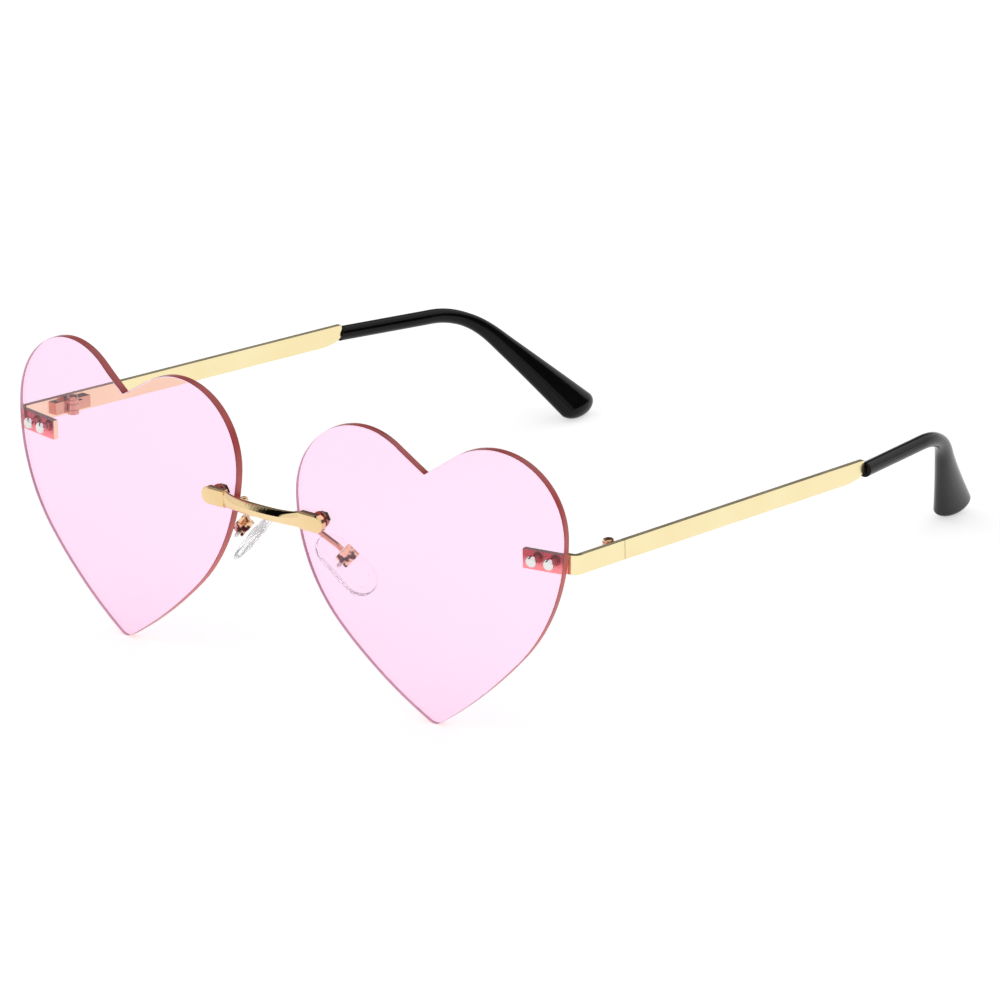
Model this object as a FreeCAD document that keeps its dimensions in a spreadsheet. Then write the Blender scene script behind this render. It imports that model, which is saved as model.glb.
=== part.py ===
import FreeCAD, Part
import math
import os
import Sketcher

Vector = FreeCAD.Vector
Rotation = FreeCAD.Rotation
Placement = FreeCAD.Placement

# Rimless heart sunglasses, open, standing on the lens points and the temple tips.
# Millimetres and degrees; +X is the wearer's left, +Y is backward to the ears, +Z is up.
# The left side is modelled and the right side is its mirror image.

doc = FreeCAD.newDocument("heart_sunglasses")
sheet = doc.addObject("Spreadsheet::Sheet", "Sizes")

driving_sizes = {
    # heart lens, measured from its middle on the front surface
    "lens_spacing": 76.3,
    "lens_front_y": -74.67,
    "lens_wrap": 5.7,
    "lens_tilt": 1.5,
    "lens_base_radius": 295,
    "lens_thickness": 1.75,
    "lobe_radius": 15.3,
    "lobe_offset": 15,
    "lobe_rise": 16.2,
    "notch_rise": 24.7,
    "cheek_radius": 36,
    "side_radius": 105,
    "point_radius": 2.5,
    "point_drop": 24.8,
    "lens_edge_round": 0.18,
    # seats of flat pieces on the curved lens
    "back_seat_gap": 0.16,
    "front_seat_gap": 0.07,
    "fastener_clearance": 0.05,
    # endpiece, its rivets and the slope of the side strips
    "rivet_out": 24.95,
    "rivet_rise": 12.15,
    "rivet_lift": 0.2,
    "rivet_pitch": 3.65,
    "rivet_shank_radius": 0.6,
    "rivet_head_radius": 1.12,
    "rivet_head_height": 0.7,
    "rivet_head_round": 0.55,
    "rivet_tail_radius": 0.95,
    "rivet_tail_height": 0.35,
    "endpiece_thickness": 1.1,
    "endpiece_inner_reach": 4.4,
    "endpiece_outer_reach": 6.9,
    "endpiece_bend_radius": 0.7,
    "endpiece_arm_length": 14.3,
    "strip_height": 3.8,
    "strip_slope": 5.2,
    "toe_in": 1.9,
    # hinge
    "hinge_gap": 0.12,
    "hinge_lead": 1.7,
    "barrel_radius": 1.15,
    "barrel_stand_off": 0.25,
    "barrel_height": 3,
    "middle_knuckle_height": 1.1,
    "knuckle_gap": 0.1,
    "knuckle_sweep_gap": 0.2,
    "leaf_thickness": 1,
    "leaf_height": 2.4,
    "front_leaf_length": 4.2,
    "temple_leaf_length": 3.4,
    "leaf_tongue_clearance": 0.4,
    "hinge_screw_radius": 0.6,
    "hinge_screw_clearance": 0.05,
    "hinge_screw_head_radius": 1.05,
    "hinge_screw_head_height": 0.55,
    "hinge_screw_head_round": 0.25,
    "screw_slot_width": 0.35,
    "screw_slot_depth": 0.3,
    # temple strip and the core inside its tip
    "temple_thickness": 1.1,
    "temple_strip_length": 75.9,
    "strip_end_taper": 5,
    "strip_end_cut": 1.5,
    "strip_knee_back": 1.8,
    "strip_knee_cut": 0.5,
    "core_thickness": 0.8,
    "core_height": 1.5,
    "core_length": 16,
    "core_clearance": 0.08,
    "collar_clearance": 0.05,
    # black temple tip
    "tip_lift": -0.1,
    "tip_set_out": 0.4,
    "tip_toe_in": 8.2,
    "tip_height": 2.95,
    "tip_thickness": 2.9,
    "tip_straight": 24,
    "tip_bend_radius": 20.6,
    "tip_bend_angle": 44.75,
    "tip_lean": 25.4,
    "flare_start": 32.5,
    "flare_curve": 1.3,
    "paddle_length": 27.27,
    "paddle_width": 8.74,
    "paddle_thickness": 4.7,
    "paddle_twist": 10.6,
    "paddle_skew": 22.6,
    "paddle_set_back": 0.55,
    "paddle_set_out": 0.84,
    "paddle_set_curve": 1.84,
    "paddle_end_length": 3,
    # bridge with its studs, washers and nuts
    "bridge_rise": 10.5,
    "stud_in": 25.65,
    "stud_radius": 0.7,
    "bar_radius": 1.3,
    "bar_bow": 0.6,
    "bar_end_height": 3.3,
    "bar_end_depth": 1.25,
    "bar_flat_curve": 4,
    "bar_foot_overlap": 0.2,
    "foot_inner_reach": 3.1,
    "foot_outer_reach": 2.5,
    "foot_end_flat": 0.1,
    "foot_height": 3.5,
    "foot_thickness": 1.35,
    "foot_edge_round": 0.4,
    "washer_radius": 1.7,
    "washer_thickness": 0.3,
    "washer_seat_gap": 0.1,
    "nut_across_flats": 2.6,
    "nut_thickness": 1.1,
    "stud_overrun": 0.25,
    # nose pad arm
    "arm_share": 0.52,
    "arm_set_out": 0.15,
    "arm_wire_radius": 0.55,
    "arm_socket_depth": 0.7,
    "arm_reach_back": 2,
    "arm_run_in": 1.2,
    "arm_bend_radius": 1.8,
    # nose pad with its box and screw, measured from the screw's middle
    "pad_screw_outboard": 0.6,
    "pad_screw_back": 7.4,
    "pad_screw_drop": 9.34,
    "pad_yaw": 20.6,
    "pad_pitch": 42.7,
    "pad_roll": 29.3,
    "box_upper_reach": 1.6,
    "box_lower_reach": 1.3,
    "box_width": 2.7,
    "box_cheek_reach": 0.9,
    "box_back_distance": 1,
    "box_back_thickness": 0.7,
    "box_wire_rise": 0.6,
    "box_edge_round": 0.25,
    "pad_screw_radius": 0.42,
    "pad_screw_head_radius": 0.85,
    "pad_screw_head_height": 0.45,
    "pad_screw_point_length": 1.7,
    "tab_thickness": 1,
    "tab_side_clearance": 0.1,
    "tab_radius": 0.8,
    "tab_end_clearance": 0.35,
    "pad_distance": 1.6,
    "pad_thickness": 2,
    "pad_edge_round": 0.85,
    "pad_slide": 0.6,
    "pad_end_spacing": 7,
    "pad_upper_radius": 3.4,
    "pad_lower_radius": 3.9,
    "insert_thickness": 0.7,
    "insert_inset": 1.7,
    "insert_clearance": 0.05,
}


def fill_cell(row, name, number):
    sheet.set(f"A{row}", name)
    sheet.set(f"B{row}", str(number))
    sheet.setAlias(f"B{row}", name)


for row, (name, number) in enumerate(driving_sizes.items(), start=1):
    fill_cell(row, name, number)
doc.recompute()


def size(name):
    return float(sheet.get(name))


def sine(degrees):
    return math.sin(math.radians(degrees))


def cosine(degrees):
    return math.cos(math.radians(degrees))


def tangent(degrees):
    return math.tan(math.radians(degrees))


# Frames that the pieces stand in, worked out from the driving sizes

base_radius = size("lens_base_radius")
lens_height = size("point_radius") + (size("point_drop") - size("point_radius")) * cosine(size("lens_tilt"))
lens_frame = Placement(
    Vector(size("lens_spacing") / 2, size("lens_front_y"), lens_height),
    Rotation(Vector(0, 0, 1), size("lens_wrap")),
)


def lens_spot(out, rise, depth):
    # a point of the lens, by its place across and up the front surface and its depth below that surface
    centre = Vector(0, base_radius, 0)
    ahead = math.sqrt(base_radius**2 - out**2 - rise**2)
    from_centre = Vector(out, -ahead, rise) * ((base_radius - depth) / base_radius)
    return lens_frame.multVec(centre + from_centre)


plate_turn = size("lens_wrap") + math.degrees(math.asin(size("rivet_out") / base_radius))
arm_turn = 90 + size("toe_in") - plate_turn
plate_depth = size("lens_thickness") + size("back_seat_gap")
plate_frame = Placement(
    lens_spot(size("rivet_out"), size("rivet_rise"), plate_depth) - Vector(0, 0, size("rivet_lift")),
    Rotation(Vector(0, 0, 1), plate_turn),
)

slope_fall = tangent(size("strip_slope"))
slope_start = size("endpiece_bend_radius") + size("endpiece_thickness")
arm_end = Vector(
    size("endpiece_outer_reach") + size("endpiece_arm_length") * cosine(arm_turn),
    size("endpiece_arm_length") * sine(arm_turn),
    0,
)
arm_end.z = slope_fall * (slope_start - arm_end.y + size("hinge_lead"))
side_turn = Rotation(Vector(0, 0, 1), size("toe_in"))
strip_thickness = max(size("endpiece_thickness"), size("temple_thickness"))
hinge_inset = strip_thickness + size("barrel_stand_off") + size("barrel_radius")
hinge_axis = plate_frame.multVec(arm_end)
hinge_axis += side_turn.multVec(Vector(-hinge_inset, -size("hinge_lead"), 0))
hinge_frame = Placement(hinge_axis, side_turn)

strip_start = size("hinge_lead") + size("hinge_gap")
strip_end = strip_start + size("temple_strip_length")
tip_fall = math.degrees(math.atan(slope_fall * cosine(size("tip_toe_in"))))
tip_start = Vector(
    hinge_inset - size("temple_thickness") / 2 + size("tip_set_out"),
    strip_end,
    size("tip_lift") - slope_fall * strip_end,
)
tip_turn = Rotation(Vector(0, 0, 1), size("tip_toe_in")).multiply(Rotation(Vector(1, 0, 0), -tip_fall))
collar_gap = size("collar_clearance") + size("tip_thickness") / 2 * tangent(size("tip_toe_in"))
tip_frame = hinge_frame.multiply(Placement(tip_start, tip_turn))
tip_frame = tip_frame.multiply(Placement(Vector(0, collar_gap, 0), Rotation()))

foot_low = size("bridge_rise") - size("foot_height") / 2
stud_spot = lens_spot(-size("stud_in"), size("bridge_rise"), 0)
foot_edges = [
    lens_spot(reach - size("stud_in"), foot_low, 0).y
    for reach in (-size("foot_inner_reach"), size("foot_outer_reach"))
]
bridge_seat = min(foot_edges) - size("front_seat_gap")
bridge_frame = Placement(Vector(0, bridge_seat, lens_height + size("bridge_rise")), Rotation())
washer_spot = lens_spot(-size("stud_in"), size("bridge_rise"), size("lens_thickness"))
washer_start = washer_spot.y + size("washer_seat_gap") - bridge_seat

pad_screw_middle = Vector(
    stud_spot.x + size("pad_screw_outboard"),
    size("lens_front_y") + size("pad_screw_back"),
    bridge_frame.Base.z - size("pad_screw_drop"),
)
pad_frame = Placement(pad_screw_middle, Rotation(size("pad_yaw"), size("pad_pitch"), size("pad_roll")))

bar_half_length = stud_spot.x - size("foot_inner_reach") + size("bar_foot_overlap")
arm_out = stud_spot.x * size("arm_share")


def bar_set_out(across):
    # how far the bar's back stands out from the plane of the feet
    return size("bar_bow") * (1 - (across / bar_half_length) ** 2)


lobe_reach = size("lobe_offset") + size("lobe_radius")
lobe_top = size("lobe_rise") + size("lobe_radius")

# Worked out numbers that the drawn outlines use too
worked_out = {
    "lens_bow": base_radius - math.sqrt(base_radius**2 - lobe_reach**2 - lobe_top**2),
    "hinge_inset": hinge_inset,
    "arm_turn": arm_turn,
    "slope_fall": slope_fall,
    "slope_start": slope_start,
    "strip_start": strip_start,
    "strip_end": strip_end,
    "stud_x": stud_spot.x,
    "arm_out": arm_out,
    "socket_set_out": bar_set_out(arm_out),
    "washer_start": washer_start,
    "nut_start": washer_start + size("washer_thickness"),
    "rivet_grip": size("lens_thickness") + size("back_seat_gap") + size("front_seat_gap"),
}
for row, (name, number) in enumerate(worked_out.items(), start=len(driving_sizes) + 1):
    fill_cell(row, name, number)
doc.recompute()


# Ways of drawing and building

def new_body(name, frame):
    body = doc.addObject("PartDesign::Body", name)
    body.Placement = frame
    return body


def origin_plane(body, role):
    return next(feature for feature in body.Origin.OriginFeatures if feature.Role == role)


def new_sketch(body, role, height=None):
    sketch = body.newObject("Sketcher::SketchObject", f"{body.Name}_outline")
    sketch.AttachmentSupport = (origin_plane(body, role), [""])
    sketch.MapMode = "FlatFace"
    if height is not None:
        sketch.setExpression("AttachmentOffset.Base.z", height)
    doc.recompute()
    return sketch


def number_of(sketch, expression):
    found = sketch.evalExpression(expression)
    return float(getattr(found, "Value", found))


def tie(sketch, constraint, expression):
    index = sketch.addConstraint(constraint)
    sketch.setExpression(f"Constraints[{index}]", expression)


def tie_point(sketch, line, end, spot, across, up):
    tie(sketch, Sketcher.Constraint("DistanceX", -1, 1, line, end, spot.x), across)
    tie(sketch, Sketcher.Constraint("DistanceY", -1, 1, line, end, spot.y), up)


def draw_polygon(sketch, corners):
    first = sketch.GeometryCount
    count = len(corners)
    spots = [Vector(number_of(sketch, across), number_of(sketch, up), 0) for across, up in corners]
    for i in range(count):
        sketch.addGeometry(Part.LineSegment(spots[i], spots[(i + 1) % count]))
    for i, (across, up) in enumerate(corners):
        sketch.addConstraint(Sketcher.Constraint("Coincident", first + i, 2, first + (i + 1) % count, 1))
        tie_point(sketch, first + i, 1, spots[i], across, up)


def draw_circle(sketch, across, up, radius):
    spot = Vector(number_of(sketch, across), number_of(sketch, up), 0)
    circle = sketch.addGeometry(Part.Circle(spot, Vector(0, 0, 1), number_of(sketch, radius)))
    tie_point(sketch, circle, 3, spot, across, up)
    tie(sketch, Sketcher.Constraint("Radius", circle, number_of(sketch, radius)), radius)


def draw_egg(sketch, start, near_radius, far, far_radius):
    # two round ends on the sketch's own X axis, joined by the straight lines that touch both
    near_spot = Vector(number_of(sketch, start), 0, 0)
    far_spot = Vector(number_of(sketch, far), 0, 0)
    near_size = number_of(sketch, near_radius)
    far_size = number_of(sketch, far_radius)
    lean = math.acos((near_size - far_size) / (far_spot.x - near_spot.x))
    up = Vector(0, 0, 1)
    near_circle = Part.Circle(near_spot, up, near_size)
    far_circle = Part.Circle(far_spot, up, far_size)
    near = sketch.addGeometry(Part.ArcOfCircle(near_circle, lean, 2 * math.pi - lean))
    end = sketch.addGeometry(Part.ArcOfCircle(far_circle, -lean, lean))
    turned = Vector(math.cos(lean), math.sin(lean), 0)
    mirrored = Vector(math.cos(lean), -math.sin(lean), 0)
    upper_line = Part.LineSegment(far_spot + turned * far_size, near_spot + turned * near_size)
    lower_line = Part.LineSegment(near_spot + mirrored * near_size, far_spot + mirrored * far_size)
    upper = sketch.addGeometry(upper_line)
    lower = sketch.addGeometry(lower_line)
    for first, first_end, second, second_end in ((end, 2, upper, 1), (upper, 2, near, 1),
                                                 (near, 2, lower, 1), (lower, 2, end, 1)):
        sketch.addConstraint(Sketcher.Constraint("Tangent", first, first_end, second, second_end))
    tie_point(sketch, near, 3, near_spot, start, "0")
    tie_point(sketch, end, 3, far_spot, far, "0")
    tie(sketch, Sketcher.Constraint("Radius", near, near_size), near_radius)
    tie(sketch, Sketcher.Constraint("Radius", end, far_size), far_radius)


def add_pad(body, sketch, length, side="Symmetric", backward=False):
    pad = body.newObject("PartDesign::Pad", f"{body.Name}_pad")
    pad.Profile = sketch
    pad.SideType = side
    pad.Reversed = backward
    pad.setExpression("Length", length)
    doc.recompute()
    return pad


def cut_pocket(body, sketch, length=None, side="Symmetric", backward=False):
    before = body.Shape.Volume
    pocket = body.newObject("PartDesign::Pocket", f"{body.Name}_pocket")
    pocket.Profile = sketch
    pocket.SideType = side
    pocket.Reversed = backward
    if length is None:
        pocket.Type = "ThroughAll"
    else:
        pocket.setExpression("Length", length)
    doc.recompute()
    if body.Shape.Volume >= before:
        raise RuntimeError(f"{pocket.Name} cuts nothing")
    return pocket


def turn_profile(body, sketch, role):
    turned = body.newObject("PartDesign::Revolution", f"{body.Name}_turned")
    turned.Profile = sketch
    turned.ReferenceAxis = (origin_plane(body, role), [""])
    turned.Angle = 360
    doc.recompute()
    return turned


def round_edges(body, feature, radius, wanted):
    # rounds the edges whose middle point passes the given test
    names = []
    for i, edge in enumerate(feature.Shape.Edges, start=1):
        middle = edge.valueAt((edge.FirstParameter + edge.LastParameter) / 2)
        if wanted(edge, middle):
            names.append(f"Edge{i}")
    fillet = body.newObject("PartDesign::Fillet", f"{body.Name}_round")
    fillet.Base = (feature, names)
    fillet.setExpression("Radius", radius)
    doc.recompute()
    return fillet


def upright(edge):
    return abs(edge.tangentAt(edge.FirstParameter).z) > 0.999


def near(one, other):
    return abs(one - other) < 0.01


def bent_wire(corners, radius):
    # straight runs between the corners, each inner corner rounded by an arc that touches both runs
    edges = []
    start = corners[0]
    for before, corner, after in zip(corners, corners[1:], corners[2:]):
        back = (before - corner).normalize()
        ahead = (after - corner).normalize()
        half_turn = back.getAngle(ahead) / 2
        run = radius / math.tan(half_turn)
        middle = corner + (back + ahead).normalize() * (radius / math.sin(half_turn) - radius)
        edges.append(Part.LineSegment(start, corner + back * run).toShape())
        edges.append(Part.Arc(corner + back * run, middle, corner + ahead * run).toShape())
        start = corner + ahead * run
    edges.append(Part.LineSegment(start, corners[-1]).toShape())
    return Part.Wire(edges)


def new_part(kind, name, frame=None):
    part = doc.addObject(f"Part::{kind}", name)
    if frame is not None:
        part.Placement = frame
    return part


def subtract(name, base, tool):
    result = new_part("Cut", name)
    result.Base = base
    result.Tool = tool
    return result


def new_cylinder(name, radius, height, frame):
    cylinder = new_part("Cylinder", name, frame)
    cylinder.setExpression("Radius", radius)
    cylinder.setExpression("Height", height)
    return cylinder


left_pieces = []


def left_piece(piece, label):
    piece.Label = f"left_{label}"
    left_pieces.append((piece, label))


backward_axis = Rotation(Vector(1, 0, 0), -90)


# Heart lens: half the outline is drawn, padded and mirrored, then cut to the curved sheet

def draw_half_heart(sketch):
    lobe = Vector(size("lobe_offset"), size("lobe_rise"), 0)
    lobe_radius = size("lobe_radius")
    cheek_radius = size("cheek_radius")
    side_radius = size("side_radius")
    point_radius = size("point_radius")
    notch = Vector(0, size("notch_rise"), 0)
    point = Vector(0, point_radius - size("point_drop"), 0)
    cheek = lobe + Vector(lobe_radius - cheek_radius, 0, 0)
    to_point = point - cheek
    cheek_side = side_radius - cheek_radius
    point_side = side_radius - point_radius
    reach = to_point.Length
    spread = math.acos((cheek_side**2 + reach**2 - point_side**2) / (2 * cheek_side * reach))
    cheek_end = math.atan2(to_point.y, to_point.x) - spread + math.pi
    side = cheek - Vector(math.cos(cheek_end), math.sin(cheek_end), 0) * cheek_side
    side_end = math.atan2(point.y - side.y, point.x - side.x)
    to_notch = notch - lobe
    lobe_end = math.atan2(to_notch.y, to_notch.x) - math.acos(lobe_radius / to_notch.Length)
    flank_end = lobe + Vector(math.cos(lobe_end), math.sin(lobe_end), 0) * lobe_radius
    lowest = Vector(0, -size("point_drop"), 0)
    up = Vector(0, 0, 1)
    flank_line = sketch.addGeometry(Part.LineSegment(notch, flank_end))
    lobe_arc = sketch.addGeometry(Part.ArcOfCircle(Part.Circle(lobe, up, lobe_radius), 0, lobe_end))
    cheek_arc = sketch.addGeometry(Part.ArcOfCircle(Part.Circle(cheek, up, cheek_radius), cheek_end, 0))
    side_arc = sketch.addGeometry(Part.ArcOfCircle(Part.Circle(side, up, side_radius), side_end, cheek_end))
    point_arc = sketch.addGeometry(
        Part.ArcOfCircle(Part.Circle(point, up, point_radius), -math.pi / 2, side_end)
    )
    middle_line = sketch.addGeometry(Part.LineSegment(lowest, notch))
    for first, first_end, second in ((flank_line, 2, lobe_arc), (lobe_arc, 1, cheek_arc),
                                     (cheek_arc, 1, side_arc), (side_arc, 1, point_arc)):
        sketch.addConstraint(Sketcher.Constraint("Tangent", first, first_end, second, 2))
    sketch.addConstraint(Sketcher.Constraint("Coincident", point_arc, 1, middle_line, 1))
    sketch.addConstraint(Sketcher.Constraint("Coincident", middle_line, 2, flank_line, 1))
    for line, end in ((middle_line, 1), (middle_line, 2), (point_arc, 3)):
        sketch.addConstraint(Sketcher.Constraint("PointOnObject", line, end, -2))
    sketch.addConstraint(Sketcher.Constraint("Horizontal", lobe_arc, 3, cheek_arc, 3))
    for arc, name in ((lobe_arc, "lobe_radius"), (cheek_arc, "cheek_radius"),
                      (side_arc, "side_radius"), (point_arc, "point_radius")):
        tie(sketch, Sketcher.Constraint("Radius", arc, size(name)), f"Sizes.{name}")
    tie_point(sketch, lobe_arc, 3, lobe, "Sizes.lobe_offset", "Sizes.lobe_rise")
    tie(sketch, Sketcher.Constraint("DistanceY", -1, 1, flank_line, 1, notch.y), "Sizes.notch_rise")
    tie(sketch, Sketcher.Constraint("DistanceY", -1, 1, point_arc, 1, lowest.y), "-Sizes.point_drop")


heart_frame = lens_frame.multiply(Placement(Vector(), Rotation(Vector(0, -1, 0), size("lens_tilt"))))
heart = new_body("heart_blank", heart_frame)
heart_outline = new_sketch(heart, "XZ_Plane")
draw_half_heart(heart_outline)
heart_half = add_pad(heart, heart_outline, "2 * (Sizes.lens_thickness + Sizes.lens_bow)")
heart_whole = heart.newObject("PartDesign::Mirrored", "heart_whole")
heart_whole.Originals = [heart_half]
heart_whole.MirrorPlane = (origin_plane(heart, "YZ_Plane"), [""])
heart.Tip = heart_whole
doc.recompute()

curve_frame = lens_frame.multiply(Placement(Vector(0, base_radius, 0), Rotation()))
front_curve = new_part("Sphere", "lens_front_curve", curve_frame)
front_curve.setExpression("Radius", "Sizes.lens_base_radius")
back_curve = new_part("Sphere", "lens_back_curve", curve_frame)
back_curve.setExpression("Radius", "Sizes.lens_base_radius - Sizes.lens_thickness")
lens_sheet = subtract("lens_sheet", front_curve, back_curve)
lens_blank = new_part("Common", "lens_blank")
lens_blank.Base = heart
lens_blank.Tool = lens_sheet

drill_length = "6 * Sizes.lens_thickness"
drill_start = -3 * size("lens_thickness")
drills = []
for name, side in (("inner", -1), ("outer", 1)):
    rivet_spot = Vector(side * size("rivet_pitch") / 2, drill_start, size("rivet_lift"))
    drills.append(new_cylinder(
        f"{name}_rivet_drill",
        "Sizes.rivet_shank_radius + Sizes.fastener_clearance",
        drill_length,
        plate_frame.multiply(Placement(rivet_spot, backward_axis)),
    ))
drills.append(new_cylinder(
    "stud_drill",
    "Sizes.stud_radius + Sizes.fastener_clearance",
    drill_length,
    bridge_frame.multiply(Placement(Vector(stud_spot.x, drill_start, 0), backward_axis)),
))
lens_drills = new_part("MultiFuse", "lens_drills")
lens_drills.Shapes = drills
lens_drilled = subtract("lens_drilled", lens_blank, lens_drills)
doc.recompute()


def on_heart_edge(edge):
    # outline edges are long and lie on the front or the back surface
    centre = curve_frame.Base
    depths = [abs(vertex.Point.distanceToPoint(centre) - base_radius) for vertex in edge.Vertexes]
    level = all(near(depth, 0) or near(depth, size("lens_thickness")) for depth in depths)
    return level and len(edge.Vertexes) == 2 and near(depths[0], depths[1])


lens = new_part("Fillet", "left_lens")
lens.Base = lens_drilled
edge_round = size("lens_edge_round")
lens.Edges = [
    (i, edge_round, edge_round)
    for i, edge in enumerate(lens_drilled.Shape.Edges, start=1)
    if on_heart_edge(edge)
]
left_piece(lens, "lens")


# Endpiece: a strip behind the lens, bent back to the hinge

endpiece = new_body("endpiece", plate_frame)
bend_x = "Sizes.endpiece_outer_reach"
arm_x = f"{bend_x} + Sizes.endpiece_arm_length * cos(Sizes.arm_turn)"
arm_y = "Sizes.endpiece_arm_length * sin(Sizes.arm_turn)"
endpiece_plan = new_sketch(endpiece, "XY_Plane")
draw_polygon(endpiece_plan, [
    ("-Sizes.endpiece_inner_reach", "0"),
    (bend_x, "0"),
    (arm_x, arm_y),
    (f"{arm_x} - Sizes.endpiece_thickness * sin(Sizes.arm_turn)",
     f"{arm_y} + Sizes.endpiece_thickness * cos(Sizes.arm_turn)"),
    (f"{bend_x} - Sizes.endpiece_thickness * tan(Sizes.arm_turn / 2)", "Sizes.endpiece_thickness"),
    ("-Sizes.endpiece_inner_reach", "Sizes.endpiece_thickness"),
])
blank_height = "Sizes.strip_height + 3 * Sizes.endpiece_arm_length * Sizes.slope_fall"
endpiece_strip = add_pad(endpiece, endpiece_plan, blank_height)
outer_corner = Vector(size("endpiece_outer_reach"), 0, 0)
inner_corner = Vector(
    size("endpiece_outer_reach") - size("endpiece_thickness") * tangent(arm_turn / 2),
    size("endpiece_thickness"),
    0,
)
for corner, radius in ((outer_corner, "Sizes.slope_start"), (inner_corner, "Sizes.endpiece_bend_radius")):
    endpiece_strip = round_edges(
        endpiece, endpiece_strip, radius,
        lambda edge, middle: upright(edge) and near(middle.x, corner.x) and near(middle.y, corner.y),
    )
strip_sides = new_sketch(endpiece, "YZ_Plane")
arm_finish = f"({arm_y} + Sizes.endpiece_thickness)"
arm_fall = f"Sizes.slope_fall * ({arm_finish} - Sizes.slope_start)"
for sign in ("", "-"):
    edge_height = f"{sign}Sizes.strip_height / 2"
    far_height = f"{sign}({blank_height})"
    draw_polygon(strip_sides, [
        ("-Sizes.endpiece_thickness", edge_height),
        ("Sizes.slope_start", edge_height),
        (arm_finish, f"{edge_height} - {arm_fall}"),
        (arm_finish, far_height),
        ("-Sizes.endpiece_thickness", far_height),
    ])
cut_pocket(endpiece, strip_sides)
rivet_holes = new_sketch(endpiece, "XZ_Plane")
for sign in ("", "-"):
    draw_circle(rivet_holes, f"{sign}Sizes.rivet_pitch / 2", "Sizes.rivet_lift",
                "Sizes.rivet_shank_radius + Sizes.fastener_clearance")
cut_pocket(endpiece, rivet_holes, "4 * Sizes.endpiece_thickness")
left_piece(endpiece, "endpiece")


# Rivets: domed head on the lens front, shank through lens and endpiece, low tail behind

rivets = []
rivet_tail_start = "(Sizes.endpiece_thickness + Sizes.fastener_clearance)"
for name, side in (("inner", -1), ("outer", 1)):
    rivet_spot = Vector(side * size("rivet_pitch") / 2, 0, size("rivet_lift"))
    rivet = new_body(f"{name}_rivet", plate_frame.multiply(Placement(rivet_spot, Rotation())))
    rivet_profile = new_sketch(rivet, "XY_Plane")
    draw_polygon(rivet_profile, [
        ("0", "-Sizes.rivet_grip - Sizes.rivet_head_height"),
        ("Sizes.rivet_head_radius", "-Sizes.rivet_grip - Sizes.rivet_head_height"),
        ("Sizes.rivet_head_radius", "-Sizes.rivet_grip"),
        ("Sizes.rivet_shank_radius", "-Sizes.rivet_grip"),
        ("Sizes.rivet_shank_radius", rivet_tail_start),
        ("Sizes.rivet_tail_radius", rivet_tail_start),
        ("Sizes.rivet_tail_radius", f"{rivet_tail_start} + Sizes.rivet_tail_height"),
        ("0", f"{rivet_tail_start} + Sizes.rivet_tail_height"),
    ])
    rivet_turned = turn_profile(rivet, rivet_profile, "Y_Axis")
    head_front = -size("rivet_grip") - size("rivet_head_height")
    round_edges(rivet, rivet_turned, "min(Sizes.rivet_head_round; 0.9 * Sizes.rivet_head_height)",
                lambda edge, middle: near(middle.y, head_front) and edge.Length > 1)
    rivets.append(rivet)
lens_rivets = new_part("Compound", "left_lens_rivets")
lens_rivets.Links = rivets
left_piece(lens_rivets, "lens_rivets")


# Hinge: two knuckles on the endpiece, one on the temple, and the screw through all three

def add_barrel(body, height):
    barrel = new_sketch(body, "XY_Plane")
    draw_circle(barrel, "0", "0", "Sizes.barrel_radius")
    return add_pad(body, barrel, height)


def bore_barrel(body):
    bore = new_sketch(body, "XY_Plane")
    draw_circle(bore, "0", "0", "Sizes.hinge_screw_radius + Sizes.hinge_screw_clearance")
    cut_pocket(body, bore)


def draw_box(sketch, low_x, high_x, low_y, high_y):
    draw_polygon(sketch, [(low_x, low_y), (high_x, low_y), (high_x, high_y), (low_x, high_y)])


def beside_centre(along, height):
    # a point above or below the sloping middle line of the side strips
    return (along, f"{height} - Sizes.slope_fall * ({along})")


def add_leaf_plate(body, inside_face, start, finish):
    plate = new_sketch(body, "YZ_Plane", f"{inside_face} - Sizes.leaf_thickness")
    draw_polygon(plate, [
        beside_centre(start, "-Sizes.leaf_height / 2"),
        beside_centre(finish, "-Sizes.leaf_height / 2"),
        beside_centre(finish, "Sizes.leaf_height / 2"),
        beside_centre(start, "Sizes.leaf_height / 2"),
    ])
    add_pad(body, plate, "Sizes.leaf_thickness", "One side")


front_leaf = new_body("front_leaf", hinge_frame)
add_leaf_plate(front_leaf, "Sizes.hinge_inset - Sizes.endpiece_thickness", "-Sizes.front_leaf_length", "0")
add_barrel(front_leaf, "Sizes.barrel_height")
knuckle_room = new_sketch(front_leaf, "XY_Plane")
draw_circle(knuckle_room, "0", "0", "Sizes.barrel_radius + Sizes.knuckle_sweep_gap")
cut_pocket(front_leaf, knuckle_room, "Sizes.middle_knuckle_height + 2 * Sizes.knuckle_gap")
bore_barrel(front_leaf)
left_piece(front_leaf, "front_hinge_leaf")

temple_leaf = new_body("temple_leaf", hinge_frame)
temple_inside = "Sizes.hinge_inset - Sizes.temple_thickness"
temple_leaf_end = "Sizes.strip_start + Sizes.temple_leaf_length"
add_leaf_plate(temple_leaf, temple_inside, "Sizes.strip_start", temple_leaf_end)
leaf_tongue = new_sketch(temple_leaf, "XY_Plane")
draw_box(leaf_tongue, f"{temple_inside} - Sizes.leaf_thickness - Sizes.leaf_tongue_clearance",
         f"{temple_inside} - Sizes.leaf_tongue_clearance", "0", "Sizes.strip_start + Sizes.leaf_thickness")
add_pad(temple_leaf, leaf_tongue, "Sizes.middle_knuckle_height")
add_barrel(temple_leaf, "Sizes.middle_knuckle_height")
bore_barrel(temple_leaf)
left_piece(temple_leaf, "temple_hinge_leaf")

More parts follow.
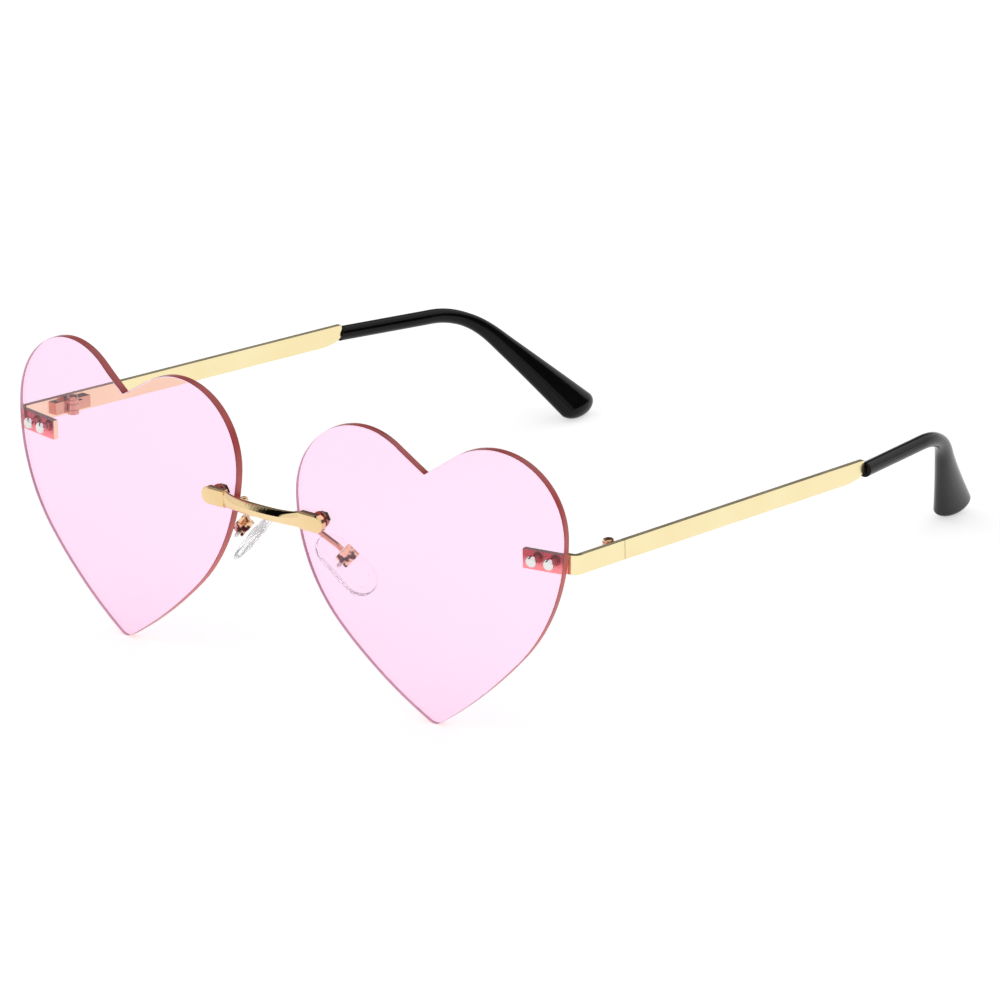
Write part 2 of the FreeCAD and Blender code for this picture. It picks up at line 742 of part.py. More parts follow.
hinge_screw = new_body("hinge_screw", hinge_frame)
screw_profile = new_sketch(hinge_screw, "XZ_Plane")
head_seat = "Sizes.barrel_height / 2 + Sizes.fastener_clearance"
draw_polygon(screw_profile, [
    ("0", "-Sizes.barrel_height / 2"),
    ("Sizes.hinge_screw_radius", "-Sizes.barrel_height / 2"),
    ("Sizes.hinge_screw_radius", head_seat),
    ("Sizes.hinge_screw_head_radius", head_seat),
    ("Sizes.hinge_screw_head_radius", f"{head_seat} + Sizes.hinge_screw_head_height"),
    ("0", f"{head_seat} + Sizes.hinge_screw_head_height"),
])
screw_turned = turn_profile(hinge_screw, screw_profile, "Z_Axis")
screw_top = size("barrel_height") / 2 + size("fastener_clearance") + size("hinge_screw_head_height")
head_round_limit = 0.8
head_round = f"min(Sizes.hinge_screw_head_round; {head_round_limit} * Sizes.hinge_screw_head_height)"
round_edges(hinge_screw, screw_turned, head_round,
            lambda edge, middle: near(middle.z, screw_top) and edge.Length > 1)
screw_slot = new_sketch(hinge_screw, "XY_Plane", f"{head_seat} + Sizes.hinge_screw_head_height")
draw_box(screw_slot, "-2 * Sizes.hinge_screw_head_radius", "2 * Sizes.hinge_screw_head_radius",
         "-Sizes.screw_slot_width / 2", "Sizes.screw_slot_width / 2")
cut_pocket(hinge_screw, screw_slot, "2 * Sizes.screw_slot_depth")
left_piece(hinge_screw, "hinge_screw")


# Temple: flat strip, then the narrow core that the tip is pushed onto

temple = new_body("temple", hinge_frame)
strip_outside = "Sizes.hinge_inset"
core_middle = "(Sizes.hinge_inset - Sizes.temple_thickness / 2 + Sizes.tip_set_out)"


def core_corner(side):
    return (
        f"{core_middle} - Sizes.core_length * sin(Sizes.tip_toe_in) {side} Sizes.core_thickness / 2"
        " * cos(Sizes.tip_toe_in)",
        f"Sizes.strip_end + Sizes.core_length * cos(Sizes.tip_toe_in) {side} Sizes.core_thickness / 2"
        " * sin(Sizes.tip_toe_in)",
    )


temple_plan = new_sketch(temple, "XY_Plane")
draw_polygon(temple_plan, [
    (strip_outside, "Sizes.strip_start"),
    (strip_outside, "Sizes.strip_end"),
    (f"{core_middle} + Sizes.core_thickness / 2", "Sizes.strip_end"),
    core_corner("+"),
    core_corner("-"),
    (f"{core_middle} - Sizes.core_thickness / 2", "Sizes.strip_end"),
    (temple_inside, "Sizes.strip_end"),
    (temple_inside, "Sizes.strip_start"),
])
temple_blank = "Sizes.strip_height + 3 * Sizes.slope_fall * (Sizes.strip_end + Sizes.core_length)"
add_pad(temple, temple_plan, temple_blank)
temple_sides = new_sketch(temple, "YZ_Plane")
core_finish = "(Sizes.strip_end + 2 * Sizes.core_length)"
taper_start = "(Sizes.strip_end - Sizes.strip_end_taper)"
strip_knee = "(Sizes.strip_end - Sizes.strip_knee_back)"
core_top = "Sizes.tip_lift + Sizes.core_height / 2"
core_bottom = "Sizes.tip_lift - Sizes.core_height / 2"
draw_polygon(temple_sides, [
    beside_centre("Sizes.hinge_lead", "Sizes.strip_height / 2"),
    beside_centre("Sizes.strip_end", "Sizes.strip_height / 2"),
    beside_centre("Sizes.strip_end", core_top),
    beside_centre(core_finish, core_top),
    (core_finish, temple_blank),
    ("Sizes.hinge_lead", temple_blank),
])
draw_polygon(temple_sides, [
    beside_centre("Sizes.hinge_lead", "-Sizes.strip_height / 2"),
    beside_centre(taper_start, "-Sizes.strip_height / 2"),
    beside_centre(strip_knee, "-Sizes.strip_height / 2 + Sizes.strip_knee_cut"),
    beside_centre("Sizes.strip_end", "-Sizes.strip_height / 2 + Sizes.strip_end_cut"),
    beside_centre("Sizes.strip_end", core_bottom),
    beside_centre(core_finish, core_bottom),
    (core_finish, f"-({temple_blank})"),
    ("Sizes.hinge_lead", f"-({temple_blank})"),
])
cut_pocket(temple, temple_sides)
left_piece(temple, "temple")


# Temple tip: round where it meets the strip, bent down and inward, flattened into a paddle

ring_count = 16


def oval_loft(ovals):
    # a solid with a smooth skin through ovals, each given by its middle and its two half axes
    turns = [360 * i / ring_count for i in range(ring_count)]
    ring = Part.BSplineCurve()
    ring.interpolate(Points=[Vector(cosine(turn), sine(turn), 0) for turn in turns], PeriodicFlag=True)
    reach = [0]
    for before, after in zip(ovals, ovals[1:]):
        steps = [b - a for a, b in zip(before, after)]
        reach.append(reach[-1] + math.sqrt(sum(step.dot(step) for step in steps)))
    rows = []
    for pole in ring.getPoles():
        line = Part.BSplineCurve()
        line.interpolate(
            Points=[spot + first * pole.x + second * pole.y for spot, first, second in ovals],
            Parameters=reach,
        )
        rows.append(line.getPoles())
    skin = Part.BSplineSurface()
    skin.buildFromPolesMultsKnots(
        rows, ring.getMultiplicities(), line.getMultiplicities(), ring.getKnots(), line.getKnots(),
        True, False, ring.Degree, line.Degree,
    )
    side = skin.toShape()
    ends = [edge for edge in side.Edges if not edge.isSeam(side)]
    shell = Part.Shell([side] + [Part.Face(Part.Wire(edge)) for edge in ends])
    shell.sewShape()
    solid = Part.Solid(shell)
    if solid.Volume < 0:
        solid.reverse()
    return solid


bend_radius = size("tip_bend_radius")
bend_length = bend_radius * math.radians(size("tip_bend_angle"))
path_length = size("tip_straight") + bend_length + size("paddle_length")
bend_side = Vector(-sine(size("tip_lean")), 0, -cosine(size("tip_lean")))


def path_spot(along):
    # place, direction and inner side of the tip's middle line in the tip's frame
    turned = min(max(along - size("tip_straight"), 0), bend_length) / bend_radius
    beyond = max(along - size("tip_straight") - bend_length, 0)
    ahead = Vector(0, 1, 0) * math.cos(turned) + bend_side * math.sin(turned)
    inward = bend_side * math.cos(turned) - Vector(0, 1, 0) * math.sin(turned)
    straight = Vector(0, min(along, size("tip_straight")), 0)
    bent = Vector(0, math.sin(turned), 0) * bend_radius + bend_side * (1 - math.cos(turned)) * bend_radius
    return straight + bent + ahead * beyond, ahead, inward


def tip_section(along, share, end_share):
    # an oval across the middle line; share runs from 0 at the round part to 1 at the paddle's end
    spot, ahead, inward = path_spot(along)
    spread = share ** size("flare_curve")
    twist = size("paddle_twist") * spread
    tall = inward * cosine(twist) + ahead.cross(inward) * sine(twist)
    wide = ahead.cross(tall)
    set_aside = tall * size("paddle_set_back") + wide * size("paddle_set_out")
    spot -= set_aside * share ** size("paddle_set_curve")
    tall -= ahead * tangent(size("paddle_skew")) * spread
    half_height = (size("tip_height") + (size("paddle_width") - size("tip_height")) * spread) / 2
    half_width = (size("tip_thickness") + (size("paddle_thickness") - size("tip_thickness")) * spread) / 2
    return spot, tall * half_height * end_share, wide * half_width * end_share


neck_count = 9
flare_count = 14
end_count = 7
end_turn = 84
flare_start = size("flare_start")
flare_finish = path_length - size("paddle_end_length")
tip_sections = [tip_section(flare_start * i / neck_count, 0, 1) for i in range(neck_count + 1)]
for i in range(1, flare_count + 1):
    # sections crowd together toward the paddle's end, where the shape turns sharply
    share = sine(90 * i / flare_count)
    along = flare_start + (flare_finish - flare_start) * share
    tip_sections.append(tip_section(along, share, 1))
for i in range(1, end_count + 1):
    angle = end_turn * i / end_count
    along = flare_finish + size("paddle_end_length") * sine(angle)
    tip_sections.append(tip_section(along, 1, cosine(angle)))
tip_solid = new_part("Feature", "tip_solid")
tip_solid.Shape = oval_loft(tip_sections)
tip_solid.Placement = tip_frame
core_room = "+ 2 * Sizes.core_clearance"
tip_socket = new_part("Box", "tip_socket")
tip_socket.setExpression("Length", f"Sizes.core_thickness {core_room}")
tip_socket.setExpression("Width", f"2 * (Sizes.core_length {core_room})")
tip_socket.setExpression("Height", f"Sizes.core_height {core_room}")
socket_corner = Vector(
    -size("core_thickness") / 2 - size("core_clearance"),
    -size("core_length") - 2 * size("core_clearance"),
    -size("core_height") / 2 - size("core_clearance"),
)
tip_socket.Placement = tip_frame.multiply(Placement(socket_corner, Rotation()))
temple_tip = subtract("left_temple_tip", tip_solid, tip_socket)
left_piece(temple_tip, "temple_tip")


# Bridge: bar, round and bowed forward in the middle, flattened into a foot on each lens, with its studs

def bar_section(across):
    flatness = abs(across / bar_half_length) ** size("bar_flat_curve")
    half_height = size("bar_radius") + (size("bar_end_height") / 2 - size("bar_radius")) * flatness
    half_depth = size("bar_radius") + (size("bar_end_depth") / 2 - size("bar_radius")) * flatness
    spot = Vector(across, -half_depth - bar_set_out(across), 0)
    return spot, Vector(0, half_depth, 0), Vector(0, 0, half_height)


bar_count = 10
bar = new_part("Feature", "bridge_bar")
bar.Shape = oval_loft(
    [bar_section(bar_half_length * sine(90 * i / bar_count)) for i in range(-bar_count, bar_count + 1)])
bridge = new_body("bridge", bridge_frame)
bridge.Label = "bridge"
bridge.BaseFeature = bar
doc.recompute()
feet = new_sketch(bridge, "XZ_Plane")
for sign in ("", "-"):
    draw_box(feet, f"{sign}(Sizes.stud_x - Sizes.foot_inner_reach)",
             f"{sign}(Sizes.stud_x + Sizes.foot_outer_reach)",
             "-Sizes.foot_height / 2", "Sizes.foot_height / 2")
foot_pads = add_pad(bridge, feet, "Sizes.foot_thickness", "One side")
foot_end = stud_spot.x + size("foot_outer_reach")
foot_round = round_edges(
    bridge, foot_pads, "(Sizes.foot_height - Sizes.foot_end_flat) / 2",
    lambda edge, middle: near(abs(middle.x), foot_end) and near(abs(middle.z), size("foot_height") / 2)
    and abs(edge.tangentAt(edge.FirstParameter).y) > 0.999,
)
round_edges(bridge, foot_round, "Sizes.foot_edge_round",
            lambda edge, middle: near(middle.y, -size("foot_thickness")) and abs(middle.x) > stud_spot.x)
studs = new_sketch(bridge, "XZ_Plane")
for sign in ("", "-"):
    draw_circle(studs, f"{sign}Sizes.stud_x", "0", "Sizes.stud_radius")
add_pad(bridge, studs, "Sizes.nut_start + Sizes.nut_thickness + Sizes.stud_overrun", "One side", True)
arm_sockets = new_sketch(bridge, "XZ_Plane")
socket_radius = "Sizes.arm_wire_radius + Sizes.fastener_clearance"
for sign in ("", "-"):
    draw_circle(arm_sockets, f"{sign}Sizes.arm_out", "0", socket_radius)
cut_pocket(bridge, arm_sockets, "2 * (Sizes.arm_socket_depth + Sizes.socket_set_out)")

washer_frame = bridge_frame.multiply(Placement(Vector(stud_spot.x, washer_start, 0), backward_axis))
washer_disc = new_cylinder("washer_disc", "Sizes.washer_radius", "Sizes.washer_thickness", washer_frame)
washer_hole = new_cylinder("washer_hole", "Sizes.stud_radius + Sizes.fastener_clearance",
                           "Sizes.washer_thickness", washer_frame)
left_piece(subtract("left_bridge_washer", washer_disc, washer_hole), "bridge_washer")

nut_gap = size("fastener_clearance")
nut_frame = bridge_frame.multiply(
    Placement(Vector(stud_spot.x, size("nut_start") + nut_gap, 0), Rotation())
)
nut = new_body("bridge_nut", nut_frame)
nut_outline = new_sketch(nut, "XZ_Plane")
corner_reach = "Sizes.nut_across_flats / 2 / cos(30)"
draw_polygon(nut_outline, [
    (f"{corner_reach} * cos({angle})", f"{corner_reach} * sin({angle})") for angle in range(0, 360, 60)
])
add_pad(nut, nut_outline, "Sizes.nut_thickness - Sizes.fastener_clearance", "One side", True)
nut_bore = new_sketch(nut, "XZ_Plane")
draw_circle(nut_bore, "0", "0", "Sizes.stud_radius + Sizes.fastener_clearance")
cut_pocket(nut, nut_bore)
left_piece(nut, "bridge_nut")


# Nose pad arm: wire from its socket in the bridge, back past the lens, down to the pad box

socket_end = size("socket_set_out") + size("arm_socket_depth") - size("fastener_clearance")
wire_start = Vector(size("arm_out"), bridge_seat - socket_end, bridge_frame.Base.z)
wire_corner = wire_start + Vector(size("arm_set_out"), size("arm_reach_back") + socket_end, 0)
box_top = size("box_upper_reach") + size("fastener_clearance")
arm_path = new_part("Feature", "pad_arm_path")
arm_path.Shape = bent_wire([
    wire_start,
    wire_corner,
    pad_frame.multVec(Vector(-box_top - size("arm_run_in"), 0, size("box_wire_rise"))),
    pad_frame.multVec(Vector(-box_top, 0, size("box_wire_rise"))),
], size("arm_bend_radius"))
arm_section = new_part("Circle", "pad_arm_section",
                       Placement(wire_start, Rotation(Vector(0, 0, 1), wire_corner - wire_start)))
arm_section.setExpression("Radius", "Sizes.arm_wire_radius")
pad_arm = new_part("Sweep", "left_pad_arm")
pad_arm.Sections = [arm_section]
pad_arm.Spine = (arm_path, [f"Edge{i + 1}" for i in range(len(arm_path.Shape.Edges))])
pad_arm.Solid = True
left_piece(pad_arm, "pad_arm")


# Pad box: cheeks on both sides of the tab, with a back and an upper end that the wire meets

box = new_body("pad_box", pad_frame)
box_outline = new_sketch(box, "XZ_Plane")
draw_box(box_outline, "-Sizes.box_upper_reach", "Sizes.box_lower_reach",
         "-Sizes.box_cheek_reach", "Sizes.box_back_distance + Sizes.box_back_thickness")
box_block = add_pad(box, box_outline, "Sizes.box_width")
round_edges(box, box_block, "Sizes.box_edge_round",
            lambda edge, middle: near(abs(middle.y), size("box_width") / 2) and upright(edge))
box_slot = new_sketch(box, "XZ_Plane")
draw_box(box_slot, "-Sizes.tab_radius - Sizes.tab_end_clearance", "2 * Sizes.box_lower_reach",
         "-2 * Sizes.box_cheek_reach", "Sizes.box_back_distance")
cut_pocket(box, box_slot, "Sizes.tab_thickness + 2 * Sizes.tab_side_clearance")
box_bore = new_sketch(box, "XZ_Plane")
draw_circle(box_bore, "0", "0", "Sizes.pad_screw_radius + Sizes.fastener_clearance")
cut_pocket(box, box_bore)
left_piece(box, "pad_box")

pad_screw = new_body("pad_screw", pad_frame)
pad_screw_profile = new_sketch(pad_screw, "XY_Plane")
pad_head_seat = "Sizes.box_width / 2 + Sizes.fastener_clearance"
point_end = "-Sizes.box_width / 2 - Sizes.pad_screw_point_length"
point_share = 0.4
draw_polygon(pad_screw_profile, [
    ("0", point_end),
    (f"Sizes.pad_screw_radius * {point_share}", point_end),
    ("Sizes.pad_screw_radius", f"{point_end} + Sizes.pad_screw_radius"),
    ("Sizes.pad_screw_radius", pad_head_seat),
    ("Sizes.pad_screw_head_radius", pad_head_seat),
    ("Sizes.pad_screw_head_radius", f"{pad_head_seat} + Sizes.pad_screw_head_height"),
    ("0", f"{pad_head_seat} + Sizes.pad_screw_head_height"),
])
turn_profile(pad_screw, pad_screw_profile, "Y_Axis")
left_piece(pad_screw, "pad_screw")


# Nose pad: soft egg shaped pad, with a hard insert whose tab hangs on the pad screw

pad_upper = "(Sizes.pad_slide - Sizes.pad_end_spacing / 2)"
pad_lower = "(Sizes.pad_slide + Sizes.pad_end_spacing / 2)"
nose_pad = new_body("nose_pad", pad_frame)
pad_outline = new_sketch(nose_pad, "XY_Plane", "-Sizes.pad_distance")
draw_egg(pad_outline, pad_upper, "Sizes.pad_upper_radius", pad_lower, "Sizes.pad_lower_radius")
pad_block = add_pad(nose_pad, pad_outline, "Sizes.pad_thickness", "One side", True)
pad_inner = -size("pad_distance") - size("pad_thickness")
pad_outer = -size("pad_distance")
pad_round_limit = 0.45
round_edges(nose_pad, pad_block, f"min(Sizes.pad_edge_round; {pad_round_limit} * Sizes.pad_thickness)",
            lambda edge, middle: near(middle.z, pad_inner) or near(middle.z, pad_outer))
insert_room = new_sketch(nose_pad, "XY_Plane", "-Sizes.pad_distance")
draw_egg(insert_room, pad_upper, "Sizes.pad_upper_radius - Sizes.insert_inset + Sizes.insert_clearance",
         pad_lower, "Sizes.pad_lower_radius - Sizes.insert_inset + Sizes.insert_clearance")
cut_pocket(nose_pad, insert_room, "Sizes.insert_thickness + Sizes.insert_clearance", "One side")
left_piece(nose_pad, "nose_pad")

insert = new_body("nose_pad_insert", pad_frame)
insert_outline = new_sketch(insert, "XY_Plane", "-Sizes.pad_distance")
draw_egg(insert_outline, pad_upper, "Sizes.pad_upper_radius - Sizes.insert_inset",
         pad_lower, "Sizes.pad_lower_radius - Sizes.insert_inset")
add_pad(insert, insert_outline, "Sizes.insert_thickness", "One side", True)
tab_side = new_sketch(insert, "XZ_Plane")
draw_box(tab_side, "-Sizes.tab_radius", "Sizes.tab_radius",
         "-Sizes.pad_distance - Sizes.insert_thickness / 2", "0")
add_pad(insert, tab_side, "Sizes.tab_thickness")
tab_end = new_sketch(insert, "XZ_Plane")
draw_circle(tab_end, "0", "0", "Sizes.tab_radius")
add_pad(insert, tab_end, "Sizes.tab_thickness")
tab_bore = new_sketch(insert, "XZ_Plane")
draw_circle(tab_bore, "0", "0", "Sizes.pad_screw_radius + Sizes.fastener_clearance")
cut_pocket(insert, tab_bore)
left_piece(insert, "nose_pad_insert")


# Right side, checks and files

pieces = [bridge]
for piece, label in left_pieces:
    mirrored = new_part("Mirroring", f"right_{label}")
    mirrored.Label = f"right_{label}"
    mirrored.Source = piece
    mirrored.Base = Vector(0, 0, 0)
    mirrored.Normal = Vector(1, 0, 0)
    pieces += [piece, mirrored]
doc.recompute()

for thing in doc.Objects:
    if "Invalid" in thing.State or "Error" in thing.State:
        raise RuntimeError(f"{thing.Label} failed: {thing.State}")
for piece in pieces:
    if piece.Shape.isNull() or not piece.Shape.isValid():
        raise RuntimeError(f"{piece.Label} has no valid shape")

os.makedirs("parts", exist_ok=True)
for piece in pieces:
    piece.Shape.exportStep(f"parts/{piece.Label}.step")
    print(piece.Label, round(piece.Shape.Volume, 2), len(piece.Shape.Solids))
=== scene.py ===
import math

import bmesh
import bpy
from mathutils import Matrix, Vector


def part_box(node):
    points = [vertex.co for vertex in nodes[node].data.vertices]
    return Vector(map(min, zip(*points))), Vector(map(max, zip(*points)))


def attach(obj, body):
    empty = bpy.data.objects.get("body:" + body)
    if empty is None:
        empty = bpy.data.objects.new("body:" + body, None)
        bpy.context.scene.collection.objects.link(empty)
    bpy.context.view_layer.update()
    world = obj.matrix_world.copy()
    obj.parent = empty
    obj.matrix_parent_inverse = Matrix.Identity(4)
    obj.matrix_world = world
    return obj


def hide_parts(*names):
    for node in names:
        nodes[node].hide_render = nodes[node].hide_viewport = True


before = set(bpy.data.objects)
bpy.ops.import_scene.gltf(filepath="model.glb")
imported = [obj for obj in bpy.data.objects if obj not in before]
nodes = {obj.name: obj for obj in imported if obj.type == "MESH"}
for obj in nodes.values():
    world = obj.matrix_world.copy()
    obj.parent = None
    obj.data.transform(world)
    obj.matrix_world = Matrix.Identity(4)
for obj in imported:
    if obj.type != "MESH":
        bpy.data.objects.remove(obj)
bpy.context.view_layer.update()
scene = bpy.context.scene
scene.view_settings.view_transform = "Standard"
print("frame loaded:", len(nodes), "nodes")

mm = 0.001
sides = ("left", "right")
noiseSpan = (0.3, 0.7)  # nearly all of a noise lies between these


# material and piece helpers

def newFinish(name):
    finish = bpy.data.materials.new(name)
    finish.use_nodes = True
    tree = finish.node_tree
    shader = next(n for n in tree.nodes if n.type == "BSDF_PRINCIPLED")
    return finish, tree, shader


def addNode(tree, kind, **settings):
    node = tree.nodes.new(kind)
    for key, setting in settings.items():
        setattr(node, key, setting)
    return node


def objectNoise(tree, scale, detail=4.0, stretch=(1, 1, 1)):
    place = addNode(tree, "ShaderNodeTexCoord")
    mapping = addNode(tree, "ShaderNodeMapping")
    mapping.inputs["Scale"].default_value = stretch
    noise = addNode(tree, "ShaderNodeTexNoise")
    noise.inputs["Scale"].default_value = scale
    noise.inputs["Detail"].default_value = detail
    tree.links.new(place.outputs["Object"], mapping.inputs["Vector"])
    tree.links.new(mapping.outputs["Vector"], noise.inputs["Vector"])
    return noise.outputs["Fac"]


def tintBetween(tree, driver, low, high, span=noiseSpan):
    ramp = addNode(tree, "ShaderNodeValToRGB")
    stops = ramp.color_ramp.elements
    stops[0].position, stops[1].position = span
    stops[0].color = (*low, 1)
    stops[1].color = (*high, 1)
    tree.links.new(driver, ramp.inputs["Fac"])
    return ramp.outputs["Color"]


def spreadBetween(tree, driver, low, high, span=noiseSpan):
    spread = addNode(tree, "ShaderNodeMapRange")
    spread.inputs["From Min"].default_value, spread.inputs["From Max"].default_value = span
    spread.inputs["To Min"].default_value = low
    spread.inputs["To Max"].default_value = high
    tree.links.new(driver, spread.inputs["Value"])
    return spread.outputs["Result"]


def addBump(tree, shader, height, strength, depth):
    bump = addNode(tree, "ShaderNodeBump")
    bump.inputs["Strength"].default_value = strength
    bump.inputs["Distance"].default_value = depth * mm
    tree.links.new(height, bump.inputs["Height"])
    tree.links.new(bump.outputs["Normal"], shader.inputs["Normal"])


def shareAlong(tree, direction, span):
    # 0 to 1 over a span of millimetres along a direction, the same on both sides of the object
    place = addNode(tree, "ShaderNodeTexCoord")
    split = addNode(tree, "ShaderNodeSeparateXYZ")
    sideways = addNode(tree, "ShaderNodeMath", operation="ABSOLUTE")
    join = addNode(tree, "ShaderNodeCombineXYZ")
    depth = addNode(tree, "ShaderNodeVectorMath", operation="DOT_PRODUCT")
    depth.inputs[1].default_value = direction
    tree.links.new(place.outputs["Object"], split.inputs["Vector"])
    tree.links.new(split.outputs["X"], sideways.inputs[0])
    tree.links.new(sideways.outputs["Value"], join.inputs["X"])
    for axis in "YZ":
        tree.links.new(split.outputs[axis], join.inputs[axis])
    tree.links.new(join.outputs["Vector"], depth.inputs[0])
    return spreadBetween(tree, depth.outputs["Value"], 0, 1, [reach * mm for reach in span])


def timesEach(tree, first, second):
    product = addNode(tree, "ShaderNodeMath", operation="MULTIPLY")
    tree.links.new(first, product.inputs[0])
    tree.links.new(second, product.inputs[1])
    return product.outputs["Value"]


def blend(tree, first, second, share):
    mix = addNode(tree, "ShaderNodeMix", data_type="RGBA")
    tree.links.new(share, mix.inputs["Factor"])
    tree.links.new(first, mix.inputs[6])  # the mix's colour sockets are 6, 7 and 2
    tree.links.new(second, mix.inputs[7])
    return mix.outputs[2]


def clearStuff(name, look):
    # see-through, tinting the light by how far it goes inside
    finish, tree, shader = newFinish(name)
    shader.inputs["Transmission Weight"].default_value = 1.0
    shader.inputs["IOR"].default_value = look["ior"]
    shader.inputs["Alpha"].default_value = look["body"]
    shader.inputs["Base Color"].default_value = (1, 1, 1, 1)
    haze = objectNoise(tree, look["haze"], detail=3)
    tree.links.new(spreadBetween(tree, haze, *look["rough"]), shader.inputs["Roughness"])
    if "bump" in look:
        addBump(tree, shader, haze, *look["bump"])
    tint = addNode(tree, "ShaderNodeVolumeAbsorption")
    tint.inputs["Color"].default_value = look["tint"]
    tint.inputs["Density"].default_value = look["density"]
    output = next(n for n in tree.nodes if n.type == "OUTPUT_MATERIAL")
    tree.links.new(tint.outputs["Volume"], output.inputs["Volume"])
    return finish


def dress(nodeName, finish):
    mesh = nodes[nodeName].data
    mesh.materials.clear()
    mesh.materials.append(finish)


def addPiece(name, shape, finish):
    mesh = bpy.data.meshes.new(name)
    shape.to_mesh(mesh)
    shape.free()
    mesh.materials.append(finish)
    for face in mesh.polygons:
        face.use_smooth = True
    piece = bpy.data.objects.new(name, mesh)
    scene.collection.objects.link(piece)
    return piece


# plated metal: pale gold strips, deeper gold on bridge and hinges, copper boxes, chrome fasteners
metalLook = {"patch": 60, "detail": 3, "stretch": (1, 0.08, 1), "bump": (0.06, 0.02)}
stripLook = {"low": (0.89, 0.75, 0.42), "high": (0.94, 0.82, 0.50),
             "rough": (0.14, 0.22), "grain": 900}
bridgeLook = {"low": (0.80, 0.57, 0.29), "high": (0.92, 0.72, 0.42),
              "rough": (0.04, 0.08), "grain": 700}
hingeLook = {"low": (0.60, 0.33, 0.18), "high": (0.78, 0.49, 0.28),
             "rough": (0.10, 0.18), "grain": 1100}
wireLook = {"low": (0.60, 0.34, 0.19), "high": (0.78, 0.50, 0.29),
            "rough": (0.08, 0.14), "grain": 1300}
# painted reflections: sharp patches from near black to peach stand in for what the polished boxes
# mirror
boxPaintedReflectionLook = {"low": (0.06, 0.012, 0.01), "high": (0.94, 0.63, 0.40),
           "rough": (0.05, 0.1), "grain": 1300, "patch": 620, "edges": (0.44, 0.54)}
nutLook = {"low": (0.34, 0.16, 0.11), "high": (0.50, 0.26, 0.17),
           "rough": (0.12, 0.2), "grain": 1300}
chromeLook = {"low": (0.70, 0.70, 0.67), "high": (0.84, 0.84, 0.81),
              "rough": (0.06, 0.12), "grain": 1500}
# a second tone over a span, each one painted light: on the plates' lens side, the rivets' shanks
# and the strips' cores
# painted tint: the plates' lens side rosy for the light that reaches it through the pink lens,
# with a painted dark reflection towards its top
paintedPlateTint = {"low": (0.96, 0.33, 0.22), "high": (1.0, 0.48, 0.34),
             "along": (-0.1831, 0.9831, 0), "span": (-79.17, -79.25), "within": (67.45, 67.3),
             "shade": {"low": (0.34, 0.03, 0.03), "high": (0.52, 0.08, 0.07),
                       "span": (35.5, 37.3)}}
# painted shade: the rivets' shanks dark red through the lens's depth
paintedShankShade = {"low": (0.22, 0.03, 0.04), "high": (0.34, 0.06, 0.07),
             "along": (-0.1831, 0.9831, 0), "span": (-81.3, -81.15), "until": (-79.2, -79.3)}
# painted shadow: the strips' ends near black inside the tips' sockets
paintedCoreShadow = {"low": (0.012, 0.011, 0.010), "high": (0.02, 0.018, 0.016),
            "along": (0, 1, 0), "span": (22.44, 22.49)}


def platedMetal(name, look, tone=None):
    finish, tree, shader = newFinish(name)
    shader.inputs["Metallic"].default_value = 1.0
    clouds = objectNoise(tree, look.get("patch", metalLook["patch"]))
    brushed = objectNoise(tree, look["grain"], metalLook["detail"], metalLook["stretch"])
    colour = tintBetween(tree, clouds, look["low"], look["high"], look.get("edges", noiseSpan))
    if tone:
        second = tintBetween(tree, clouds, tone["low"], tone["high"])
        if "shade" in tone:  # painted dark reflection, darker towards the top
            shade = tone["shade"]
            dark = tintBetween(tree, clouds, shade["low"], shade["high"])
            second = blend(tree, second, dark, shareAlong(tree, (0, 0, 1), shade["span"]))
        share = shareAlong(tree, tone["along"], tone["span"])
        if "until" in tone:
            share = timesEach(tree, share, shareAlong(tree, tone["along"], tone["until"]))
        if "within" in tone:
            share = timesEach(tree, share, shareAlong(tree, (1, 0, 0), tone["within"]))
        colour = blend(tree, colour, second, share)
    tree.links.new(colour, shader.inputs["Base Color"])
    tree.links.new(spreadBetween(tree, brushed, *look["rough"]), shader.inputs["Roughness"])
    addBump(tree, shader, brushed, *metalLook["bump"])
    return finish


hingeGold = platedMetal("hinge_gold", hingeLook)
nutBrown = platedMetal("nut_brown", nutLook)
metalPieces = {
    "temple": platedMetal("strip_gold", stripLook, paintedCoreShadow),
    "endpiece": platedMetal("endpiece_gold", stripLook, paintedPlateTint),
    "lens_rivets": platedMetal("rivet_chrome", chromeLook, paintedShankShade),
    "front_hinge_leaf": hingeGold,
    "temple_hinge_leaf": hingeGold,
    "hinge_screw": hingeGold,
    "bridge_nut": nutBrown,
    "bridge_washer": nutBrown,
    "pad_arm": platedMetal("pad_wire_gold", wireLook),
    "pad_box": platedMetal("pad_box_gold", boxPaintedReflectionLook),
    "pad_screw": platedMetal("fastener_chrome", chromeLook),
}
for side in sides:
    for piece, finish in metalPieces.items():
        dress(f"{side}_{piece}", finish)
dress("bridge", platedMetal("bridge_gold", bridgeLook))
print("metal dressed")


# temple tips: glossy black acetate
tipLook = {"low": (0.002, 0.002, 0.002), "high": (0.005, 0.005, 0.006), "rough": (0.08, 0.13),
           "gloss": 0.16, "clouds": 120, "peel": 260, "bump": (0.04, 0.03)}


def tipPlastic():
    finish, tree, shader = newFinish("tip_black")
    clouds = objectNoise(tree, tipLook["clouds"])
    peel = objectNoise(tree, tipLook["peel"], detail=2)
    black = tintBetween(tree, clouds, tipLook["low"], tipLook["high"])
    tree.links.new(black, shader.inputs["Base Color"])
    tree.links.new(spreadBetween(tree, clouds, *tipLook["rough"]), shader.inputs["Roughness"])
    shader.inputs["Specular IOR Level"].default_value = tipLook["gloss"]
    addBump(tree, shader, peel, *tipLook["bump"])
    return finish


tipBlack = tipPlastic()
for side in sides:
    dress(f"{side}_temple_tip", tipBlack)
print("tips dressed")
